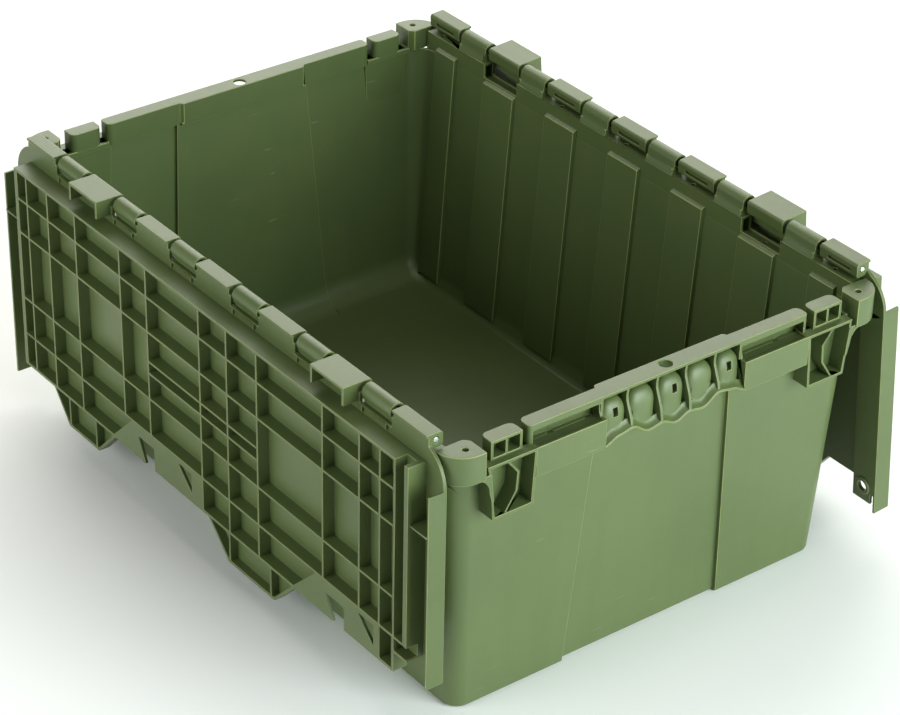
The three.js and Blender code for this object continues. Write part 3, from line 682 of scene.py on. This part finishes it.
def make_grip(end, y_side, material):
    """Hand grip: fins under the rim, a finger form in each bay and a wavy rolled lip."""
    top = RIM_UNDER + 0.3
    fin = [(253, top), (RIM_OUTER - 0.3, top), (RIM_OUTER - 1, 217), (RIM_OUTER - 0.5, 213), (266, 207),
           (268.4, 201), (269.4, 196), (FRONT, 191), (FRONT, GRIP_BOTTOM), (259, GRIP_BOTTOM)]
    lip = [(263.6, 6), (265.4, 6.2), (266.2, 4.4), (267.6, 2.8), (270.2, 1.6), (270.6, 0.4), (269.8, -0.6),
           (266, -0.2), (263.8, 1)]
    below = [(250, -20), (280, -20), (280, 0), (250, 0)]
    stations = [(x, lip_height(x)) for x in range(-GRIP_HALF, GRIP_HALF + 1, 2)]
    beyond = GRIP_HALF + 4
    bays = [((a + b) / 2, (b - a) / 2) for a, b in zip(FINS, FINS[1:])]
    solids = [prism(fin, "X", x - 1, x + 1) for x in FINS]
    solids += [dome(x, half - 0.4, 9.6, 205, 13) for x, half in bays]
    cuts = [dome(x, half - 2.6, 7.4, 204, 11.8) for x, half in bays]
    cuts += [slab(x - 2, x + 2, 262, 268, 205.5, 212) for x in FINGER_HOLES]
    cuts.append(swept(below, [(-beyond, stations[0][1]), *stations, (beyond, stations[-1][1])]))
    bm = combine([combine(solids, cuts), swept(lip, stations)])
    return finish(f"grip_{end}_moulding", mirrored(bm, 1, y_side), "tote", material,
                  [f"hand_grip_{end}"], radius=0.35, sharpest=40)


def tote_knuckle(a, b):
    """Barrel round the rod, open at both ends, on two curved feet with a web at either end."""
    foot, web_top, room, room_depth = 220, 227, 4, 7
    inner = [(WALL_FACE, foot), (WALL_FACE + 0.3, 223.5), (180.4, web_top), (181.1, AXIS_Z),
             (184, AXIS_Z), (183, web_top), (181.4, 223.5), (181, foot)]
    outer = [(186, foot), (RAIL_FACE, foot), (191, 226), (AXIS_X, AXIS_Z)]
    web = (WALL_FACE + 0.6, RAIL_FACE - 0.5)
    solid = combine([rod("Y", AXIS_X, AXIS_Z, BARREL, a, b), prism(inner, "Y", a, b),
                     prism(outer, "Y", a, b), slab(*web, a, a + SHEET, foot - 1, web_top),
                     slab(*web, b - SHEET, b, foot - 1, web_top)])
    return combine([solid], [rod("Y", AXIS_X, AXIS_Z, room, a - 1, a + room_depth, 24),
                             rod("Y", AXIS_X, AXIS_Z, room, b - room_depth, b + 1, 24)])


def hook_pocket(a, b):
    """Floor under a hook, with a drain hole."""
    low = POCKET_FLOOR - SHEET
    return combine([slab(WALL_FACE, RAIL_FACE, a - 3.4, b + 3.4, low, POCKET_FLOOR)],
                   [rod("Z", 184, (a + b) / 2, 1.8, low, POCKET_FLOOR + 2.8, 16)])


def make_rail(side, x_side, material):
    """Hollow rail along one side with its knuckles, drain holes and hook pockets."""
    half = RAIL_HALF
    solids = [
        slab(WALL_FACE, RAIL_FACE, -half, half, RAIL_TOP - SHEET, RAIL_TOP),
        slab(WALL_FACE, WALL_FACE + SHEET, -half, half, STEP, RAIL_TOP),
        slab(RAIL_FACE - SHEET, RAIL_FACE, -half, half, 202, 222),
        slab(WALL_FACE, RAIL_FACE, -half, half, 203.5, STEP + 2),
    ]
    solids += [tote_knuckle(a, b) for a, b in both_ways(TOTE_KNUCKLES)]
    cuts = [rod("Y", AXIS_X, AXIS_Z, BORE, -260, 260, 24)]
    for a, b in both_ways(LID_KNUCKLES) + [MIDDLE_KNUCKLE]:
        cuts.append(rod("Z", 183.5, (a + b) / 2 + 4, 1.6, 219, 224, 16))
    for a, b in both_ways((HOOK,)):
        cuts.append(slab(WALL_FACE - 1, RAIL_FACE + 1.5, a - 1.6, b + 1.6, NOTCH, 224))
    bm = combine([combine(solids, cuts), *(hook_pocket(a, b) for a, b in both_ways((HOOK,)))])
    return finish(f"rail_{side}_moulding", mirrored(bm, x_side, 1), "tote", material,
                  [f"hinge_rail_{side}"], radius=0.5)


def make_rod(side, x_side, material):
    bm = rod("Y", x_side * AXIS_X, AXIS_Z, ROD, -249.4, 249.4)
    return finish(f"rod_{side}_steel", bm, "tote", material, [f"hinge_rod_{side}"],
                  radius=0.3, sharpest=60)


def make_tote(plastic, steel):
    make_tub(plastic)
    for end, y_side in (("front", -1), ("back", 1)):
        make_end_rim(end, y_side, plastic)
        make_grip(end, y_side, plastic)
        for side, x_side in (("left", -1), ("right", 1)):
            place = (end, side, x_side, y_side)
            corner_piece("tray", "rim_tray", *place, tray_solid(), plastic)
            corner_piece("pocket", "tie_pocket", *place, pocket_solid(), plastic, radius=0.45)
            corner_piece("block", "stop_block", *place, block_solid(), plastic)
            corner_piece("cap", "corner_cap", *place, cap_solid(), plastic, radius=0.8)
    for side, x_side in (("left", -1), ("right", 1)):
        make_rail(side, x_side, plastic)
        make_rod(side, x_side, steel)


# Materials --------------------------------------------------------------------------------------


class Socket:
    """Output socket of a shader, with sums that make their own nodes."""

    def __init__(self, tree, socket):
        self.tree = tree
        self.socket = socket

    def math(self, operation, *others, clamp=False):
        made = node(self.tree, "ShaderNodeMath", operation=operation, use_clamp=clamp)
        for place, value in zip(made.inputs, (self, *others)):
            feed(self.tree, place, value)
        return Socket(self.tree, made.outputs[0])

    def __add__(self, other):
        return self.math("ADD", other)

    def __radd__(self, other):
        return self.math("ADD", other)

    def __sub__(self, other):
        return self.math("SUBTRACT", other)

    def __rsub__(self, other):
        return (self * -1).math("ADD", other)

    def __mul__(self, other):
        return self.math("MULTIPLY", other)

    def __rmul__(self, other):
        return self.math("MULTIPLY", other)

    def ramp(self, low, high):
        """0 below low, 1 above high, straight between."""
        return self.math("SUBTRACT", low).math("DIVIDE", high - low, clamp=True)


def node(tree, kind, **settings):
    """New shader node with its settings."""
    made = tree.nodes.new(kind)
    for name, value in settings.items():
        setattr(made, name, value)
    return made


def feed(tree, place, value):
    """Links a socket to an input, or sets the input's value."""
    if isinstance(value, Socket):
        tree.links.new(value.socket, place)
    else:
        place.default_value = value


def blank(name):
    material = bpy.data.materials.new(name)
    material.use_nodes = True
    tree = material.node_tree
    return material, tree, tree.nodes["Principled BSDF"]


def object_place(tree, stretch):
    """Object coordinates, in metres, stretched along each axis."""
    place = node(tree, "ShaderNodeTexCoord")
    mapping = node(tree, "ShaderNodeMapping")
    mapping.inputs["Scale"].default_value = stretch
    tree.links.new(place.outputs["Object"], mapping.inputs["Vector"])
    return mapping.outputs["Vector"]


def noise(tree, scale, detail, stretch=(1, 1, 1)):
    """Noise from 0 to 1; scale is its number of features in a metre."""
    made = node(tree, "ShaderNodeTexNoise")
    made.inputs["Scale"].default_value = scale
    made.inputs["Detail"].default_value = detail
    made.inputs["Roughness"].default_value = 0.55
    tree.links.new(object_place(tree, stretch), made.inputs["Vector"])
    return Socket(tree, made.outputs["Fac"])


def blend(tree, share, first, second, kind="MIX"):
    """Colour between two others."""
    made = node(tree, "ShaderNodeMix", data_type="RGBA", blend_type=kind)
    feed(tree, made.inputs["Factor"], share)
    feed(tree, made.inputs[6], first)
    feed(tree, made.inputs[7], second)
    return Socket(tree, made.outputs[2])


def bump(tree, shader, height, strength, distance):
    made = node(tree, "ShaderNodeBump")
    made.inputs["Strength"].default_value = strength
    made.inputs["Distance"].default_value = distance
    tree.links.new(height.socket, made.inputs["Height"])
    tree.links.new(made.outputs["Normal"], shader.inputs["Normal"])


OLIVE = (0.095, 0.132, 0.044, 1)
OLIVE_DEEP = (0.072, 0.104, 0.033, 1)
OLIVE_WARM = (0.106, 0.130, 0.042, 1)
# Painted highlight: light yellow-green laid on the outer bevel faces, standing for light caught by the
# rounded edges.
PAINTED_EDGE_HIGHLIGHT = (0.34, 0.37, 0.13, 1)
# Painted shade: dark colour laid on the inner bevel faces, where shade falls in the creases.
PAINTED_CREASE_SHADE = (0.034, 0.044, 0.016, 1)
SCUFF = (0.26, 0.31, 0.18, 1)
STAIN = (0.12, 0.055, 0.025, 1)


def make_plastic(name, flow, tint):
    """Satin moulded plastic, with a painted highlight on its outer rounded edges and painted shade in its
    inner ones. Its flow marks run along the axis in which flow is small.
    """
    material, tree, shader = blank(name)
    cloud = noise(tree, 5.5, 4)
    patch = noise(tree, 17, 3)
    streak = noise(tree, 60, 3, flow)
    grain = noise(tree, 1500, 2)
    mottle = noise(tree, 260, 3)
    colour = blend(tree, cloud.ramp(0.35, 0.68) * 0.75, OLIVE, OLIVE_DEEP)
    colour = blend(tree, patch.ramp(0.5, 0.75) * 0.5, colour, OLIVE_WARM)
    colour = blend(tree, streak.ramp(0.5, 0.8) * 0.35, colour, OLIVE_DEEP)
    colour = blend(tree, 1.0, colour, tint, "MULTIPLY")
    edge = node(tree, "ShaderNodeAttribute", attribute_name="edge")
    turn = Socket(tree, edge.outputs["Fac"])
    # Painted highlight on the outer rounded edges, made patchy by noise so it is not even.
    highlight_breakup = noise(tree, 45, 4).ramp(0.25, 0.6)
    colour = blend(tree, turn.ramp(0.2, 1.0) * (0.6 + highlight_breakup * 0.4), colour, PAINTED_EDGE_HIGHLIGHT)
    # Painted shade in the inner rounded edges, the creases.
    colour = blend(tree, (turn * -1).ramp(0.2, 1.0) * 0.4, colour, PAINTED_CREASE_SHADE)
    scratch = noise(tree, 900, 2, (0.04, 1, 0.3)).ramp(0.69, 0.76) * patch.ramp(0.45, 0.6)
    colour = blend(tree, scratch * 0.3, colour, SCUFF)
    stain = noise(tree, 75, 4).ramp(0.735, 0.80) * noise(tree, 420, 3).ramp(0.45, 0.6)
    colour = blend(tree, stain * 0.6, colour, STAIN)
    feed(tree, shader.inputs["Base Color"], colour)
    roughness = 0.34 + mottle * 0.10 + streak * 0.06 + scratch * 0.2 + stain * 0.2
    feed(tree, shader.inputs["Roughness"], roughness)
    shader.inputs["Specular IOR Level"].default_value = 0.5
    bump(tree, shader, grain * 0.35 + mottle * 0.4 + streak * 0.5 - scratch * 0.6, 0.35, 0.00035)
    return material


def make_steel():
    """Bright plated wire with fine draw lines along it and a little tarnish."""
    material, tree, shader = blank("plated_steel")
    shader.inputs["Metallic"].default_value = 1
    line = noise(tree, 900, 2, (1, 0.02, 1))
    dull = noise(tree, 70, 3).ramp(0.5, 0.75)
    colour = blend(tree, dull * 0.5, (0.95, 0.96, 0.96, 1), (0.60, 0.61, 0.60, 1))
    feed(tree, shader.inputs["Base Color"], colour)
    feed(tree, shader.inputs["Roughness"], 0.26 + line * 0.14 + dull * 0.2)
    bump(tree, shader, line, 0.25, 0.0001)
    return material


def make_ground():
    material, tree, shader = blank("pale_ground")
    tone = noise(tree, 3, 2)
    colour = blend(tree, tone * 0.3, (0.93, 0.93, 0.93, 1), (0.90, 0.90, 0.90, 1))
    feed(tree, shader.inputs["Base Color"], colour)
    shader.inputs["Roughness"].default_value = 0.7
    shader.inputs["Specular IOR Level"].default_value = 0.2
    return material


# Floor, camera and light ------------------------------------------------------------------------


def direction(azimuth, elevation):
    """Unit vector towards a place seen from the origin; azimuth 0 is straight in front."""
    a, e = math.radians(azimuth), math.radians(elevation)
    return Vector((math.sin(a) * math.cos(e), -math.cos(a) * math.cos(e), math.sin(e)))


def make_floor(material):
    floor = as_object("floor", slab(-4000, 4000, -4000, 4000, -60, -0.4))
    floor.data.transform(Matrix.Scale(MM, 4))
    floor.data.materials.append(material)


# Angles in degrees, distance in metres, lens in millimetres.
CAMERA = {"azimuth": -37.764, "elevation": 31.731, "roll": 1.232, "distance": 2.32086}
CAMERA_SHIFT = (0.01434, 0.08497)   # metres to the right and up
LENS = 121.451


def make_camera():
    camera = bpy.data.objects.new("camera", bpy.data.cameras.new("camera"))
    scene.collection.objects.link(camera)
    azimuth, roll = math.radians(CAMERA["azimuth"]), math.radians(CAMERA["roll"])
    back = direction(CAMERA["azimuth"], CAMERA["elevation"])
    level = Vector((math.cos(azimuth), math.sin(azimuth), 0))
    upright = back.cross(level)
    right = math.cos(roll) * level + math.sin(roll) * upright
    up = math.cos(roll) * upright - math.sin(roll) * level
    centre = CAMERA_SHIFT[0] * right + CAMERA_SHIFT[1] * up + CAMERA["distance"] * back
    camera.matrix_world = Matrix.Translation(centre) @ Matrix((right, up, back)).transposed().to_4x4()
    camera.data.lens = LENS
    scene.camera = camera


# Name, azimuth, elevation, power in watts, side in metres and colour.
LIGHTS = (
    ("front_soft", 14, 15, 88, 1.7, (0.88, 1.0, 0.97)),
    ("left_soft", -98, 14, 40, 1.7, (0.93, 1.0, 0.96)),
    ("back_sheen", 146, 33, 76, 2.6, (1.0, 1.0, 0.93)),
    ("top_soft", -35, 80, 9, 1.2, (1.0, 0.90, 0.87)),
)


LIGHT_DISTANCE, LIGHT_LIFT = 2.4, 0.1
ROOM_LIGHT = 0.14


def make_lights():
    for name, azimuth, elevation, power, size, tint in LIGHTS:
        light = bpy.data.objects.new(name, bpy.data.lights.new(name, "AREA"))
        back = direction(azimuth, elevation)
        light.location = back * LIGHT_DISTANCE + Vector((0, 0, LIGHT_LIFT))
        light.rotation_mode = "QUATERNION"
        light.rotation_quaternion = back.to_track_quat("Z", "Y")
        light.data.energy = power
        light.data.size = size
        light.data.color = tint
        scene.collection.objects.link(light)
    world = bpy.data.worlds.new("soft_room")
    world.use_nodes = True
    room = world.node_tree.nodes["Background"]
    room.inputs["Color"].default_value = (1, 1, 1, 1)
    room.inputs["Strength"].default_value = ROOM_LIGHT
    scene.world = world
    scene.view_settings.view_transform = "Standard"


tote_plastic = make_plastic("moulded_tote", (1, 1, 0.06), (1.0, 1.0, 1.0, 1))
lid_plastic = make_plastic("moulded_lid", (1, 0.06, 1), (1.0, 0.98, 0.97, 1))
make_tote(tote_plastic, make_steel())
make_leaf("left", 0, 0, lid_plastic)
make_leaf("right", math.pi, 4, lid_plastic)
make_floor(make_ground())
make_camera()
make_lights()
